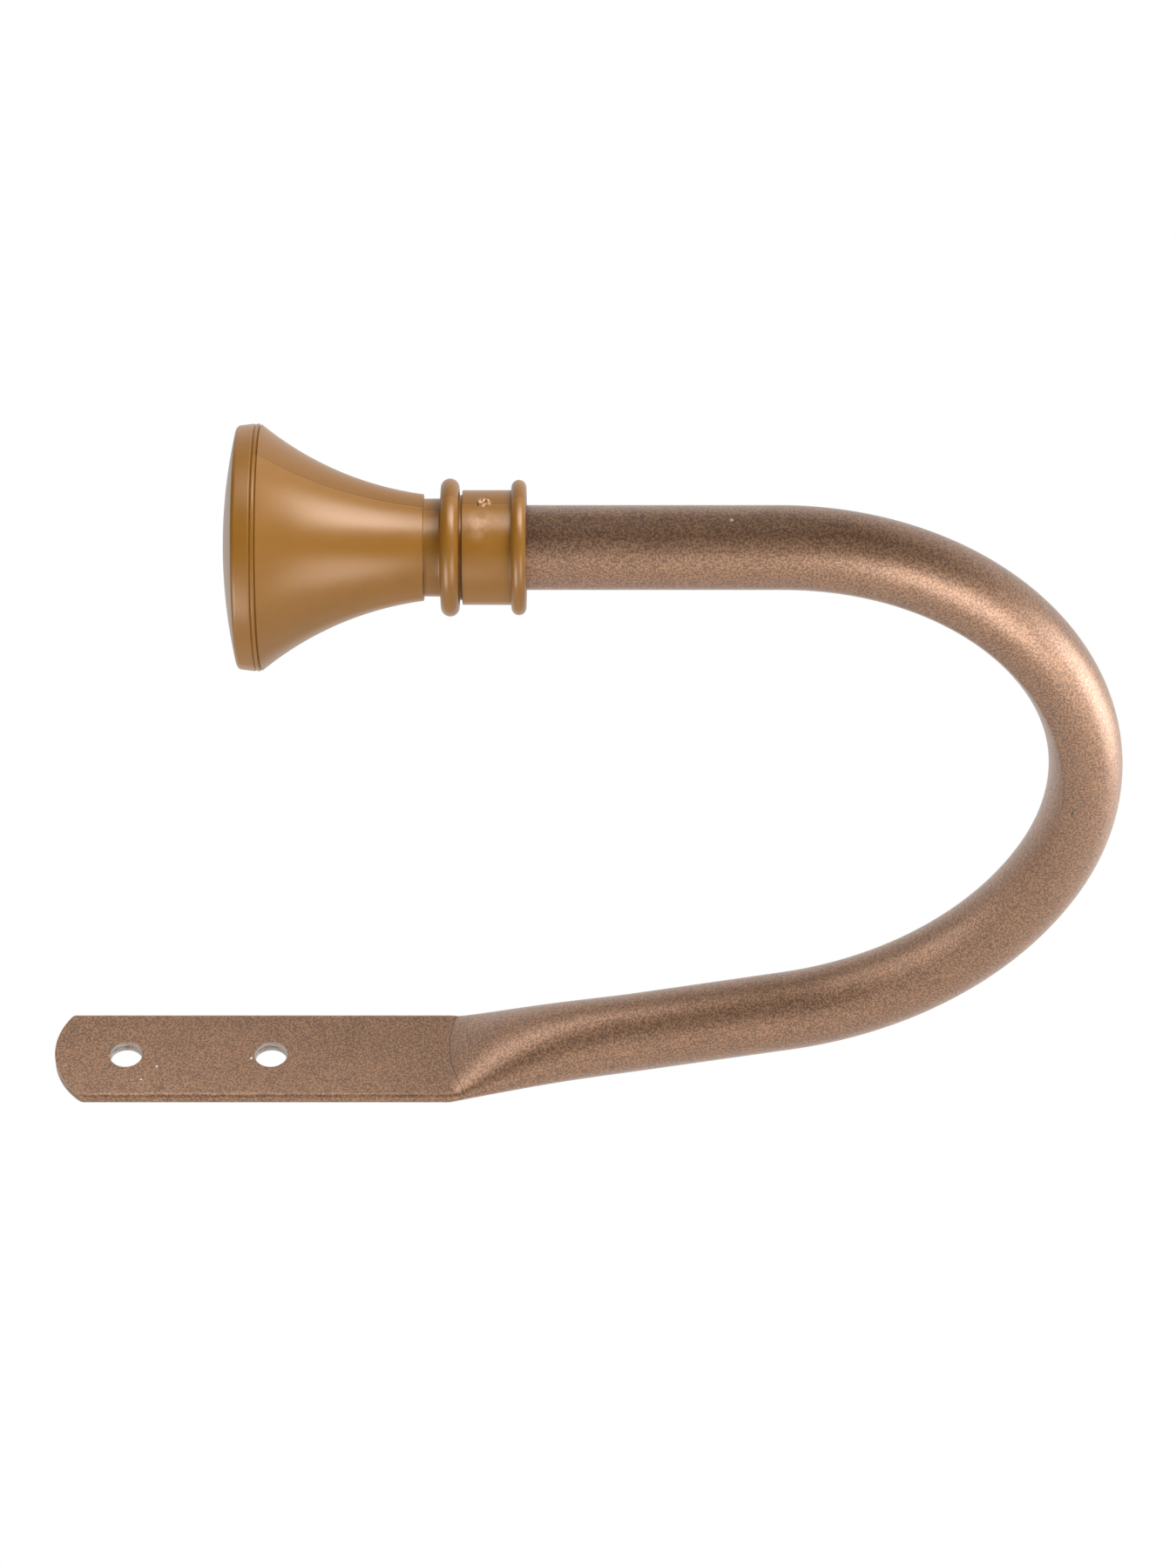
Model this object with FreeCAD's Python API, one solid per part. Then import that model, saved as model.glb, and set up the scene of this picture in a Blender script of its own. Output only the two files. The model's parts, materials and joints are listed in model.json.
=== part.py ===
"""Curtain holdback: a U-bent tube, pressed flat at one end, with a capped trumpet finial on the other.

Frame, in millimetres: the wall is the plane Y = 0 and the part stands out of it towards -Y. X runs
along the flat strap towards the bend and Z is up. The origin lies on the back of the strap, midway
between its two screw holes. The tube's centreline lies in one level plane, Z = 0.
"""
import FreeCAD
import Part
import math
import os

# Tube stock
tube_d = 16.0
tube_wall = 1.2

# Flat strap that the screws go through
hole_spacing = 30.0
hole_d = 6.6
hole_to_end = 14.8
end_bow = 5.1
holes_to_crease = 52.0

# Pressed taper from the strap to the round tube
taper_length = 40.0
taper_stations = 9
crown_power = 3.0
side_power = 1.5
side_tuck = 0.1
belly_press = 0.15
nose_length = 1.2
nose_tuck = 0.4
tongue_length = 6.5
slit_start = 3.0

# Route of the centreline, from the crease to the end in the finial
leg_angle = 11.7
leg_length = 70.8
lower_radius = 71.7
lower_turn = 54.1
upper_radius = 60.9
arm_length = 61.6

# Inner side of the bend, flattened between two ridges by the bending form
bend_crush = 1.75
crush_peak = 0.6
crush_fade = 1.5
ridge_angle = 61.0
bend_stations = 17

# Finial: lengths along the tube from its mouth, and steps in its outside from one feature to the next
socket_depth = 14.0
socket_clearance = 0.1
socket_floor = 2.0
collar_wall = 2.7
collar_length = 9.2
mouth_bead_height = 1.95
mouth_bead_width = 2.8
notch_width = 0.6
notch_depth = 0.9
neck_bead_height = 2.2
neck_bead_width = 3.5
neck_step = 1.6
neck_length = 3.2
flare_step = 0.85
flare_start_angle = 7.4
flare_end_angle = 39.2
flare_curve = 60.5
finial_wall = 2.2

# Rim of the flare, and the cap that is pressed into it
rim_groove_width = 0.4
rim_groove_depth = 0.3
rim_ridge_width = 0.7
rim_lip = 0.15
rim_wall = 2.6
seam_bevel = 0.25
spigot_length = 2.4
spigot_wall = 1.8
spigot_clearance = 0.1
spigot_end_gap = 0.3
cap_band_width = 2.7
cap_band_draft = 0.3
cap_edge_radius = 0.9
cap_dome = 3.45
cap_wall = 2.2

tube_radius = tube_d / 2
bore_radius = tube_radius - tube_wall
strap_thickness = 2 * tube_wall
strap_width = math.pi * bore_radius + 2 * tube_wall
upper_turn = 180 - leg_angle - lower_turn
up = FreeCAD.Vector(0, 0, 1)
overrun = 1.0
same_size = 1e-6


class Station:
    """A place on the centreline, with the directions along the tube and to the inside of the bend."""

    def __init__(self, point, heading):
        """Heading is in degrees from +X, turning away from the wall."""
        turn = math.radians(heading)
        self.point = point
        self.heading = heading
        self.along = FreeCAD.Vector(math.cos(turn), -math.sin(turn), 0)
        self.inward = FreeCAD.Vector(-math.sin(turn), -math.cos(turn), 0)

    def ahead(self, distance):
        """The station a straight distance further on."""
        return Station(self.point + self.along * distance, self.heading)

    def around(self, radius, turn):
        """The station at the end of an arc that turns away from the wall."""
        end = Station(self.point, self.heading + turn)
        return Station(self.point + (self.inward - end.inward) * radius, end.heading)

    def spot(self, inward, height):
        """A point of the cross-section at this station."""
        return self.point + self.inward * inward + up * height


class Outline:
    """Half section of a turned piece: distance along the axis, then radius."""

    def __init__(self, along, radius):
        self.start = FreeCAD.Vector(along, radius, 0)
        self.here = self.start
        self.edges = []

    def line(self, along, radius):
        """Straight edge to the next corner."""
        end = FreeCAD.Vector(along, radius, 0)
        self.edges.append(Part.LineSegment(self.here, end).toShape())
        self.here = end

    def arc(self, middle, end):
        """Circular edge through a middle point."""
        last = FreeCAD.Vector(*end, 0)
        self.edges.append(Part.Arc(self.here, FreeCAD.Vector(*middle, 0), last).toShape())
        self.here = last

    def turned(self, station):
        """The closed outline turned about the tube's axis, with its zero at a station."""
        self.line(self.start.x, self.start.y)
        axis = FreeCAD.Vector(1, 0, 0)
        solid = Part.Face(Part.Wire(self.edges)).revolve(FreeCAD.Vector(0, 0, 0), axis, 360)
        solid.Placement = FreeCAD.Placement(station.point, FreeCAD.Rotation(axis, station.along))
        return solid


def arc(first, middle, last):
    """Circular edge through three points."""
    return Part.Arc(first, middle, last).toShape()


def loft(rings):
    """Smooth solid through a row of cross-sections."""
    return Part.makeLoft(rings, True, False)


def tube_ring(station, radius, crush):
    """Round section whose inner side, between the two ridges, is pushed in by crush."""
    ridge = math.radians(ridge_angle)
    upper = station.spot(radius * math.cos(ridge), radius * math.sin(ridge))
    lower = station.spot(radius * math.cos(ridge), -radius * math.sin(ridge))
    outside = arc(upper, station.spot(-radius, 0), lower)
    inside = arc(lower, station.spot(radius - crush, 0), upper)
    return Part.Wire([outside, inside])


def straight_run(station, radius, length):
    """Round bar from a station straight on."""
    return Part.Face(tube_ring(station, radius, 0)).extrude(station.along * length)


def bend_run(start, radius):
    """The two-radius bend, its inner side crushed most at the peak and not at all at the ends."""
    total = lower_turn + upper_turn
    skew = math.log(0.5) / math.log(crush_peak)
    rings = []
    for step in range(bend_stations):
        turned = total * step / (bend_stations - 1)
        in_lower = min(turned, lower_turn)
        station = start.around(lower_radius, in_lower).around(upper_radius, turned - in_lower)
        crush = bend_crush * math.sin(math.pi * (turned / total) ** skew) ** crush_fade
        rings.append(tube_ring(station, radius, crush))
    return loft(rings)


def belly_edges(station, depth, half_width):
    """Half section on the wall's side: a wide arc between two tight side arcs, all tangent."""
    roundness = (math.sqrt(2) - 1) * (depth / half_width) ** 2
    side = (depth - roundness * half_width) / (1 - roundness)
    slant = math.pi / 4
    if half_width - depth > same_size:
        slant = math.pi / 2 - 2 * math.atan((depth - side) / (half_width - side))
    reach = half_width - side
    corner = (-side * math.sin(slant), reach + side * math.cos(slant))
    bulge = (-side * math.sin(slant / 2), reach + side * math.cos(slant / 2))
    low_corner = station.spot(corner[0], -corner[1])
    low_bulge = station.spot(bulge[0], -bulge[1])
    first = arc(station.spot(0, -half_width), low_bulge, low_corner)
    middle = arc(low_corner, station.spot(-depth, 0), station.spot(*corner))
    last = arc(station.spot(*corner), station.spot(*bulge), station.spot(0, half_width))
    return [first, middle, last]


def crown_edge(station, height, half_width):
    """Half section on the side away from the wall: half an ellipse."""
    top = station.spot(height, 0)
    if half_width - height < same_size:
        return arc(station.spot(0, half_width), top, station.spot(0, -half_width))
    ellipse = Part.Ellipse(station.spot(0, half_width), top, station.point)
    return Part.Arc(ellipse, 0, math.pi).toShape()


def taper_ring(crease, share, wall):
    """Section of the pressed taper, a share of the way from the crease to the round tube.

    Away from the wall it swells fast from the strap and eases into the tube. Its belly follows the
    wall, a little below it so that the wall trims it flat, and lifts into the leg at the end.
    """
    station = crease.ahead(taper_length * share)
    left = 1 - share
    flat = strap_thickness / 2
    tilt = math.radians(leg_angle)
    lift = taper_length * math.tan(tilt)
    wall_depth = flat / math.cos(tilt) + lift * share
    end_gap = flat / math.cos(tilt) + lift - tube_radius
    depth = wall_depth - end_gap * max(share, 0) ** (lift / end_gap)
    height = tube_radius - (tube_radius - flat) * left ** crown_power
    spread = strap_width / 2 - side_tuck - tube_radius
    half_width = tube_radius + spread * min(left, 1) ** side_power
    if wall == 0:
        depth = depth + belly_press * left ** 2
    if share < 0:
        half_width = half_width - nose_tuck
    edges = belly_edges(station, depth - wall, half_width - wall)
    return Part.Wire([crown_edge(station, height - wall, half_width - wall)] + edges)


def taper(crease, first_share, wall):
    """Loft from a share of the taper to its round end, trimmed flat by the wall."""
    shares = [first_share]
    for step in range(1, taper_stations):
        shares.append(step / (taper_stations - 1))
    return loft([taper_ring(crease, share, wall) for share in shares])


def strap():
    """Flattened end of the tube: folded long edges, a round-cut free end and a tongue in the taper."""
    half = strap_width / 2
    fold = strap_thickness / 2
    free_end = -hole_spacing / 2 - hole_to_end
    tongue_end = holes_to_crease + tongue_length
    length = tongue_end - free_end
    rear = FreeCAD.Vector(free_end, -fold, 0)
    core = Part.makeBox(length, strap_thickness, strap_width - strap_thickness)
    core.translate(rear + FreeCAD.Vector(0, -fold, fold - half))
    body = core
    for side in (-1, 1):
        centre = rear + up * side * (half - fold)
        body = body.fuse(Part.makeCylinder(fold, length, centre, FreeCAD.Vector(1, 0, 0)))
    return body.common(strap_outline(free_end, tongue_end))


def strap_outline(free_end, tongue_end):
    """Block with the strap's outline seen square to the wall."""
    half = strap_width / 2
    corner = free_end + end_bow
    depth = strap_thickness + overrun

    def at(x, z):
        return FreeCAD.Vector(x, overrun / 2, z)

    bow = arc(at(corner, -half), at(free_end, 0), at(corner, half))
    places = [at(tongue_end - tongue_length, half), at(tongue_end, half - tongue_length),
              at(tongue_end, tongue_length - half), at(tongue_end - tongue_length, -half)]
    inset = tongue_length * (1 - math.sqrt(0.5))
    upper_turn_in = arc(places[0], at(tongue_end - inset, half - inset), places[1])
    lower_turn_in = arc(places[2], at(tongue_end - inset, inset - half), places[3])
    edges = [bow, Part.LineSegment(at(corner, half), places[0]).toShape(), upper_turn_in,
             Part.LineSegment(places[1], places[2]).toShape(), lower_turn_in,
             Part.LineSegment(places[3], at(corner, -half)).toShape()]
    return Part.Face(Part.Wire(edges)).extrude(FreeCAD.Vector(0, -depth, 0))


def bent_tube(crease):
    """One tube from the strap's free end, round the bend, to its open end in the finial."""
    round_start = crease.ahead(taper_length)
    bend_start = crease.ahead(leg_length)
    arm_start = bend_start.around(lower_radius, lower_turn).around(upper_radius, upper_turn)
    straight_leg = leg_length - taper_length
    pressed = taper(crease, -nose_length / taper_length, 0)
    behind_wall = Part.makeBox(3 * taper_length, tube_d, 2 * strap_width,
                               FreeCAD.Vector(0, 0, -strap_width))
    pressed = pressed.cut(behind_wall)
    outside = strap().multiFuse([pressed,
                                 straight_run(round_start, tube_radius, straight_leg),
                                 bend_run(bend_start, tube_radius),
                                 straight_run(arm_start, tube_radius, arm_length)])
    hollow = taper(crease, slit_start / taper_length, tube_wall)
    hollow = hollow.multiFuse([straight_run(round_start, bore_radius, straight_leg),
                               bend_run(bend_start, bore_radius),
                               straight_run(arm_start, bore_radius, arm_length + overrun)])
    tube = outside.removeSplitter().cut(hollow.removeSplitter())
    for side in (-1, 1):
        mouth = FreeCAD.Vector(side * hole_spacing / 2, overrun, 0)
        reach = strap_thickness + 2 * overrun
        tube = tube.cut(Part.makeCylinder(hole_d / 2, reach, mouth, FreeCAD.Vector(0, -1, 0)))
    return tube, arm_start.ahead(arm_length)


class Finial:
    """Places that the finial and its cap share, as distance along the axis and radius."""

    socket_radius = tube_radius + socket_clearance
    collar_radius = socket_radius + collar_wall
    neck_radius = collar_radius - neck_step
    flare_start_radius = neck_radius + flare_step
    mouth_bead_end = mouth_bead_width
    collar_end = mouth_bead_end + collar_length
    neck_bead_start = collar_end + notch_width
    neck_bead_end = neck_bead_start + neck_bead_width
    flare_start = neck_bead_end + neck_length
    curve_along = flare_start - flare_curve * math.sin(math.radians(flare_start_angle))
    curve_radius = flare_start_radius + flare_curve * math.cos(math.radians(flare_start_angle))
    flare_end = curve_along + flare_curve * math.sin(math.radians(flare_end_angle))
    flare_end_radius = curve_radius - flare_curve * math.cos(math.radians(flare_end_angle))
    rim_radius = flare_end_radius + rim_lip
    ridge_start = flare_end + rim_groove_width
    seam = ridge_start + rim_ridge_width
    recess_radius = rim_radius - rim_wall
    recess_start = seam - spigot_length


def flare_point(angle, offset):
    """Point of the flare's arc, or of the inner wall at an offset from it."""
    turn = math.radians(angle)
    reach = flare_curve + offset
    return Finial.curve_along + reach * math.sin(turn), Finial.curve_radius - reach * math.cos(turn)


def inner_angle(along):
    """Angle at which the inner wall's arc passes a distance along the axis."""
    return math.degrees(math.asin((along - Finial.curve_along) / (flare_curve + finial_wall)))


def bead(outline, start, width, height):
    """Full-round bead that stands a height above the collar."""
    crown = Finial.collar_radius + height
    shoulder = crown - width / 2
    outline.line(start, shoulder)
    outline.arc((start + width / 2, crown), (start + width, shoulder))


def trumpet_finial(mouth):
    """Hollow moulding: socket, collar between two beads, neck and flare with a ridged rim."""
    cavity_start = socket_depth + socket_floor
    outline = Outline(0, Finial.socket_radius)
    bead(outline, 0, mouth_bead_width, mouth_bead_height)
    outline.line(Finial.mouth_bead_end, Finial.collar_radius)
    outline.line(Finial.collar_end, Finial.collar_radius)
    outline.line(Finial.neck_bead_start, Finial.collar_radius - notch_depth)
    bead(outline, Finial.neck_bead_start, neck_bead_width, neck_bead_height)
    outline.line(Finial.neck_bead_end, Finial.neck_radius)
    outline.line(Finial.flare_start, Finial.neck_radius)
    outline.line(Finial.flare_start, Finial.flare_start_radius)
    outline.arc(flare_point((flare_start_angle + flare_end_angle) / 2, 0), flare_point(flare_end_angle, 0))
    outline.line(Finial.flare_end + rim_groove_width / 2, Finial.flare_end_radius - rim_groove_depth)
    outline.line(Finial.ridge_start, Finial.rim_radius)
    outline.line(Finial.seam - seam_bevel, Finial.rim_radius)
    outline.line(Finial.seam, Finial.rim_radius - seam_bevel)
    outline.line(Finial.seam, Finial.recess_radius)
    outline.line(Finial.recess_start, Finial.recess_radius)
    wide = inner_angle(Finial.recess_start)
    narrow = inner_angle(cavity_start)
    outline.line(*flare_point(wide, finial_wall))
    outline.arc(flare_point((wide + narrow) / 2, finial_wall), flare_point(narrow, finial_wall))
    outline.line(cavity_start, 0)
    outline.line(socket_depth, 0)
    outline.line(socket_depth, Finial.socket_radius)
    return outline.turned(mouth)


def finial_cap(mouth):
    """Domed cap whose spigot fits the recess in the rim and whose flange seats on the rim."""
    spigot_radius = Finial.recess_radius - spigot_clearance
    spigot_end = Finial.recess_start + spigot_end_gap
    band_end = Finial.seam + cap_band_width
    edge = Finial.rim_radius - cap_band_draft - cap_edge_radius
    sphere = (edge ** 2 + cap_dome ** 2 - cap_edge_radius ** 2) / (2 * (cap_dome - cap_edge_radius))
    centre = band_end + cap_dome - sphere
    tilt = math.atan2(edge, band_end - centre)
    half_turn = math.pi / 4 + tilt / 2

    def on_sphere(radius, angle):
        return centre + radius * math.cos(angle), radius * math.sin(angle)

    outline = Outline(spigot_end, spigot_radius - spigot_wall)
    outline.line(spigot_end, spigot_radius)
    outline.line(Finial.seam, spigot_radius)
    outline.line(Finial.seam, Finial.rim_radius - seam_bevel)
    outline.line(Finial.seam + seam_bevel, Finial.rim_radius)
    outline.line(band_end, Finial.rim_radius - cap_band_draft)
    edge_middle = (band_end + cap_edge_radius * math.cos(half_turn), edge + cap_edge_radius * math.sin(half_turn))
    outline.arc(edge_middle, on_sphere(sphere, tilt))
    outline.arc(on_sphere(sphere, tilt / 2), on_sphere(sphere, 0))
    inner = sphere - cap_wall
    inner_tilt = math.asin((spigot_radius - spigot_wall) / inner)
    outline.line(*on_sphere(inner, 0))
    outline.arc(on_sphere(inner, inner_tilt / 2), on_sphere(inner, inner_tilt))
    return outline.turned(mouth)


crease = Station(FreeCAD.Vector(holes_to_crease, -strap_thickness / 2, 0), leg_angle)
tube, tube_end = bent_tube(crease)
mouth = tube_end.ahead(-socket_depth)
pieces = {"bent_tube": tube, "trumpet_finial": trumpet_finial(mouth), "finial_cap": finial_cap(mouth)}
os.makedirs("parts", exist_ok=True)
for name, shape in pieces.items():
    print(name, shape.isValid(), len(shape.Solids), len(shape.Faces), round(shape.Volume, 2))
    shape.exportStep("parts/" + name + ".step")
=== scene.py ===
"""Curtain holdback: a powder-coated bent tube with a pearl plastic finial, on a white ground."""

import json
import math

import bmesh
import bpy
import numpy as np
from mathutils import Matrix, Vector


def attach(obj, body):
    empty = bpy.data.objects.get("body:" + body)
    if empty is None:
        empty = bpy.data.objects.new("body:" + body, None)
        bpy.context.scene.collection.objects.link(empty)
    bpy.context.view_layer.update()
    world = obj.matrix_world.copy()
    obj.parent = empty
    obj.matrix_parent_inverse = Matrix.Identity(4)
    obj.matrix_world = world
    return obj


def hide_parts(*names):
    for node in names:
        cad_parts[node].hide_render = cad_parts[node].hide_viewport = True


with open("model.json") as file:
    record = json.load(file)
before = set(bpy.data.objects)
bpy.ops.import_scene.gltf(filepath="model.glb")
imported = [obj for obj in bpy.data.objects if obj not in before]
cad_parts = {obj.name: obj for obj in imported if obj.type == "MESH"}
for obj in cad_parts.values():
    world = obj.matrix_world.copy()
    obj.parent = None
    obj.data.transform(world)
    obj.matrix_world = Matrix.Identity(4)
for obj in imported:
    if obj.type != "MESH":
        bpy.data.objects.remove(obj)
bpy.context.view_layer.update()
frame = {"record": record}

MM = 0.001
TINY = 1e-9
MERGE_DISTANCE = 2e-6
SHARP_ANGLE = math.radians(38)
QUARTER_TURN = math.pi / 2

# Points drawn round a small edge or corner, and steps across the strap.
ROUND_POINTS = 5
FOLD_STEPS = 8
EDGE_STEPS = 14
PATCH_STEPS = 24

# Tube and strap, in millimetres. The strap is two walls thick, so its folded edges are round by one wall.
TUBE_RADIUS = 8.0
TUBE_WALL = 1.2
TUBE_EDGE = 0.3
BORE_SHOWN = 10.0
BORE_CLOSED = 1e-4
FOLD = TUBE_WALL
STRAP_HALF = 11.88
FLAT_HALF = STRAP_HALF - FOLD
FREE_END_X = -29.8
FREE_END_BOW = 5.1
FREE_END_SKEW = 1.5
FREE_END_EDGE = 0.2
CREASE_X = 52.0
CREASE_START = -1.5

# Seam between the two pressed walls: (inset, depth) across the free end, (height, depth) down a hole.
HOLE_RADIUS = 3.3
HOLE_EDGE = 0.25
HOLE_PATCH = 6.5
HOLE_DRAW = 1.6
END_SEAM = ((0.7, 0.0), (1.0, 0.04), (1.08, 0.14), (FOLD, 0.22))
HOLE_SEAM = (
    (FOLD - HOLE_EDGE, 0.0), (0.24, 0.0), (0.1, 0.1), (0.0, 0.2), (-0.1, 0.1), (-0.24, 0.0),
    (HOLE_EDGE - FOLD, 0.0))
screw_holes = next(m for m in frame["record"]["mounts"] if m["name"] == "screw_holes")
HOLE_PITCH = screw_holes["dims"]["spacing_x_mm"]
HOLE_CENTRES = (-HOLE_PITCH / 2, HOLE_PITCH / 2)

# Pressed taper, leg, two bends and arm.
LEG_TILT = math.radians(11.7)
TAPER_LENGTH = 40.0
FINE_TAPER = 12.0
CROWN_POWER = 3.0
SIDE_POWER = 1.5
BELLY_PRESS = 0.15
BELLY_LEAST = 0.5
ROUND_ENOUGH = 1e-6
TONGUE_LENGTH = 6.5
CREASE_BLEND = 0.12
FAR_BELOW = -30.0
LEG_LENGTH = 70.8
LOWER_RADIUS = 71.7
LOWER_TURN = math.radians(54.1)
UPPER_RADIUS = 60.9
UPPER_TURN = math.pi - LEG_TILT - LOWER_TURN
ARM_LENGTH = 61.6
BEND_CRUSH = 1.75
CRUSH_PEAK = 0.6
CRUSH_FADE = 1.5
CRUSH_LEAST = 1e-4
RIDGE_ANGLE = math.radians(61.0)
RIDGE_BLEND = 0.2

# Finial and cap, measured from the mouth of the socket towards the cap.
MOUTH_X = 69.04
ARM_Y = -142.24
MOUTH_BEAD = (1.4, 11.35, 1.4)
NECK_BEAD = (14.35, 11.25, 1.75)
COLLAR_RADIUS = 10.8
FLARE_CURVE = 60.5
FLARE_CENTRE = (11.508, 70.046)
FLARE_ANGLES = (7.6, 39.2)
HOLLOW_ANGLES = (36.0, 9.0)
FINIAL_WALL = 2.2
RIM_RADIUS = 23.31
SEAM = 50.85
SEAM_BEVEL = 0.25
RECESS_RADIUS = 20.71
SPIGOT_END = 48.75
SPIGOT_RADIUS = 20.61
SPIGOT_WALL = 1.8
BAND_END = 53.55
BAND_DRAFT = 0.3
CAP_EDGE = 0.9
CAP_DOME = 3.45
CAP_WALL = 2.2
POLE_ANGLE = 0.001
PARTING_HEIGHT = 0.05
PARTING_WIDTH = 0.22
PARTING_SPAN = 0.09

# Corners of the finial's outline in turn: distance from the mouth, radius and fillet.
SOCKET_CORNERS = ((14.0, 0.0, 0.0), (14.0, 8.1, 0.2), (0.9, 8.1, 0.15))
COLLAR_CORNERS = (
    (3.1, 10.83, 0.2), (12.0, COLLAR_RADIUS, 0.12), (12.05, 9.9, 0.1), (12.55, 9.9, 0.1), (12.6, 11.1, 0.1))
NECK_CORNERS = ((16.1, 10.75, 0.1), (16.15, 9.25, 0.2), (19.25, 9.2, 0.2), (19.3, 10.05, 0.12))
RIM_CORNERS = (
    (49.95, 22.86, 0.06), (50.15, RIM_RADIUS, 0.1), (SEAM - SEAM_BEVEL, RIM_RADIUS, 0.08),
    (SEAM, RIM_RADIUS - SEAM_BEVEL, 0.05))
RECESS_CORNERS = ((SEAM, RECESS_RADIUS, 0.1), (48.45, RECESS_RADIUS, 0.1), (48.4, 19.2, 0.2))
WEB_CORNERS = ((16.0, 7.0, 0.2), (16.0, 0.0, 0.0))

# Torn nub of the mould's gate on the collar.
GATE_PLACE = 8.0
GATE_SIDE = 0.45
GATE_RADIUS = 1.35
GATE_HEIGHT = 0.5
GATE_CRATER = 0.35
CRATER_SHARE = 0.45
GATE_TEAR = 0.12
GATE_BED = 0.03
GATE_ROOT = 0.25

# Colours of coat and plastic, as sRGB of 0 to 255.
COAT_GROUND = (105, 68, 37)
COAT_FLAKE = (186, 136, 95)
# Painted shade for the dark line along the crease.
CREASE_SHADE_TONE = (84, 62, 46)
BARE_METAL = (176, 168, 160)
SPECK_TONE = (236, 226, 216)
NICK_TONE = (22, 17, 14)
PEARL_DEEP = (121, 79, 21)
PEARL_PALE = (139, 96, 37)
# Painted shade for the finial's upper half.
PEARL_UPPER_SHADE = (105, 67, 14)
PARTING_TONE = (80, 50, 14)
TORN_TONE = (226, 186, 156)

# Small marks: places in millimetres, and radii.
CREASE_CURVE = 17.3
CREASE_SKEW = 0.088
CREASE_OFFSET = 0.1
SPECKS = (
    ((107.56, -150.15, -1.19), 0.4), ((-8.44, -2.4, -3.29), 0.35), ((-11.45, -2.4, -6.96), 0.3),
    ((11.0, -2.4, -1.0), 0.4))
NICK = (((175.5, -80.0, -7.75), 0.26), ((175.38, -79.65, -7.73), 0.3), ((175.26, -79.3, -7.7), 0.22))
TORN_SPOT = ((61.05, -153.2, 0.45), 1.7)
SMEAR_SPOT = ((60.6, -151.6, -4.4), 4.2)

# Camera, floor and surroundings, in metres.
CAMERA_PLACE = (0.08065, -0.7945, -0.7395)
CAMERA_RIGHT = (1.0, 0.0, 0.0)
CAMERA_UP = (0.0, -0.7193, 0.6947)
CAMERA_BACK = (0.0, -0.6947, -0.7193)
CAMERA_LENS = 120.0
CAMERA_SENSOR = 36.0
CAMERA_REACH = 20.0
FLOOR_SIZE = 60.0
FLOOR_PLACE = (0.0, 29.4, -1.0)
FLOOR_GLOW = 0.75
BACKDROP_LIGHT = 0.6
BACKDROP_FADE = (-0.3, -0.663, -0.686)
BACKDROP_EDGE = (0.5, -0.55)

# Lamps: direction (right, up, towards the lens) and power. Near lamps also have distance, size and aim.
MIDDLE = (0.08, -0.08, 0.0)
FAR = 0.8
FAR_SIZE = (0.45, 0.45)
TUBE_LAMPS = (
    ((1.0, -0.15, -0.1), 3.6),
    ((0.6, -0.5, 0.65), 2.8),
    ((-0.8, 0.1, 0.5), 1.2),
    ((0.0, 0.1, 1.0), 0.4),
    ((-0.55, 0.65, 0.5), 0.9),
    ((0.0, 0.82, 0.58), 0.3))
NEAR_LAMPS = (
    ((0.8, 0.1, 0.6), 0.35, (0.2, 0.2), 0.04, MIDDLE),
    ((-0.85, 0.4, 0.35), 0.2, (0.1, 0.1), 0.045, (0.06, 0.0, 0.0)),
    ((-0.1, 0.85, 0.5), 0.11, (0.14, 0.06), 0.04, (0.01, 0.0, 0.0)),
    ((0.3, 0.4, 0.86), 0.16, (0.08, 0.08), 0.006, (0.165, -0.125, 0.0)))
FINIAL_LAMPS = (
    ((0.5, 0.7, 0.5), 5.0),
    ((-0.55, -0.65, 0.5), 4.5),
    ((0.6, -0.5, 0.65), 3.0),
    ((0.0, 0.82, 0.58), 2.2))
FINIAL_STRIP = ((0.3, 0.68, 0.68), 0.7, (0.6, 0.2), 2.0, MIDDLE)


def mesh_piece(name, grids):
    """One mesh object sewn from grids of points in millimetres, each an array (rows, columns, 3)."""
    points = []
    faces = []
    start = 0
    for grid in grids:
        rows, columns = grid.shape[:2]
        index = start + np.arange(rows * columns).reshape(rows, columns)
        quads = np.stack([index[:-1, :-1], index[1:, :-1], index[1:, 1:], index[:-1, 1:]], -1)
        points.append(grid.reshape(-1, 3))
        faces.append(quads.reshape(-1, 4))
        start += rows * columns
    mesh = bpy.data.meshes.new(name)
    mesh.from_pydata(np.concatenate(points) * MM, [], np.concatenate(faces).tolist())
    work = bmesh.new()
    work.from_mesh(mesh)
    bmesh.ops.remove_doubles(work, verts=work.verts, dist=MERGE_DISTANCE)
    bmesh.ops.dissolve_degenerate(work, edges=work.edges, dist=MERGE_DISTANCE / 2)
    bmesh.ops.recalc_face_normals(work, faces=work.faces)
    work.to_mesh(mesh)
    work.free()
    mesh.shade_smooth()
    mesh.set_sharp_from_angle(angle=SHARP_ANGLE)
    piece = bpy.data.objects.new(name, mesh)
    bpy.context.scene.collection.objects.link(piece)
    return piece


def soft_max(first, second, blend):
    """The higher of two surfaces, rounded where they meet: (a + b + sqrt((a - b)^2 + blend^2)) / 2."""
    return (first + second + np.sqrt((first - second) ** 2 + blend ** 2)) / 2


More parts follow.
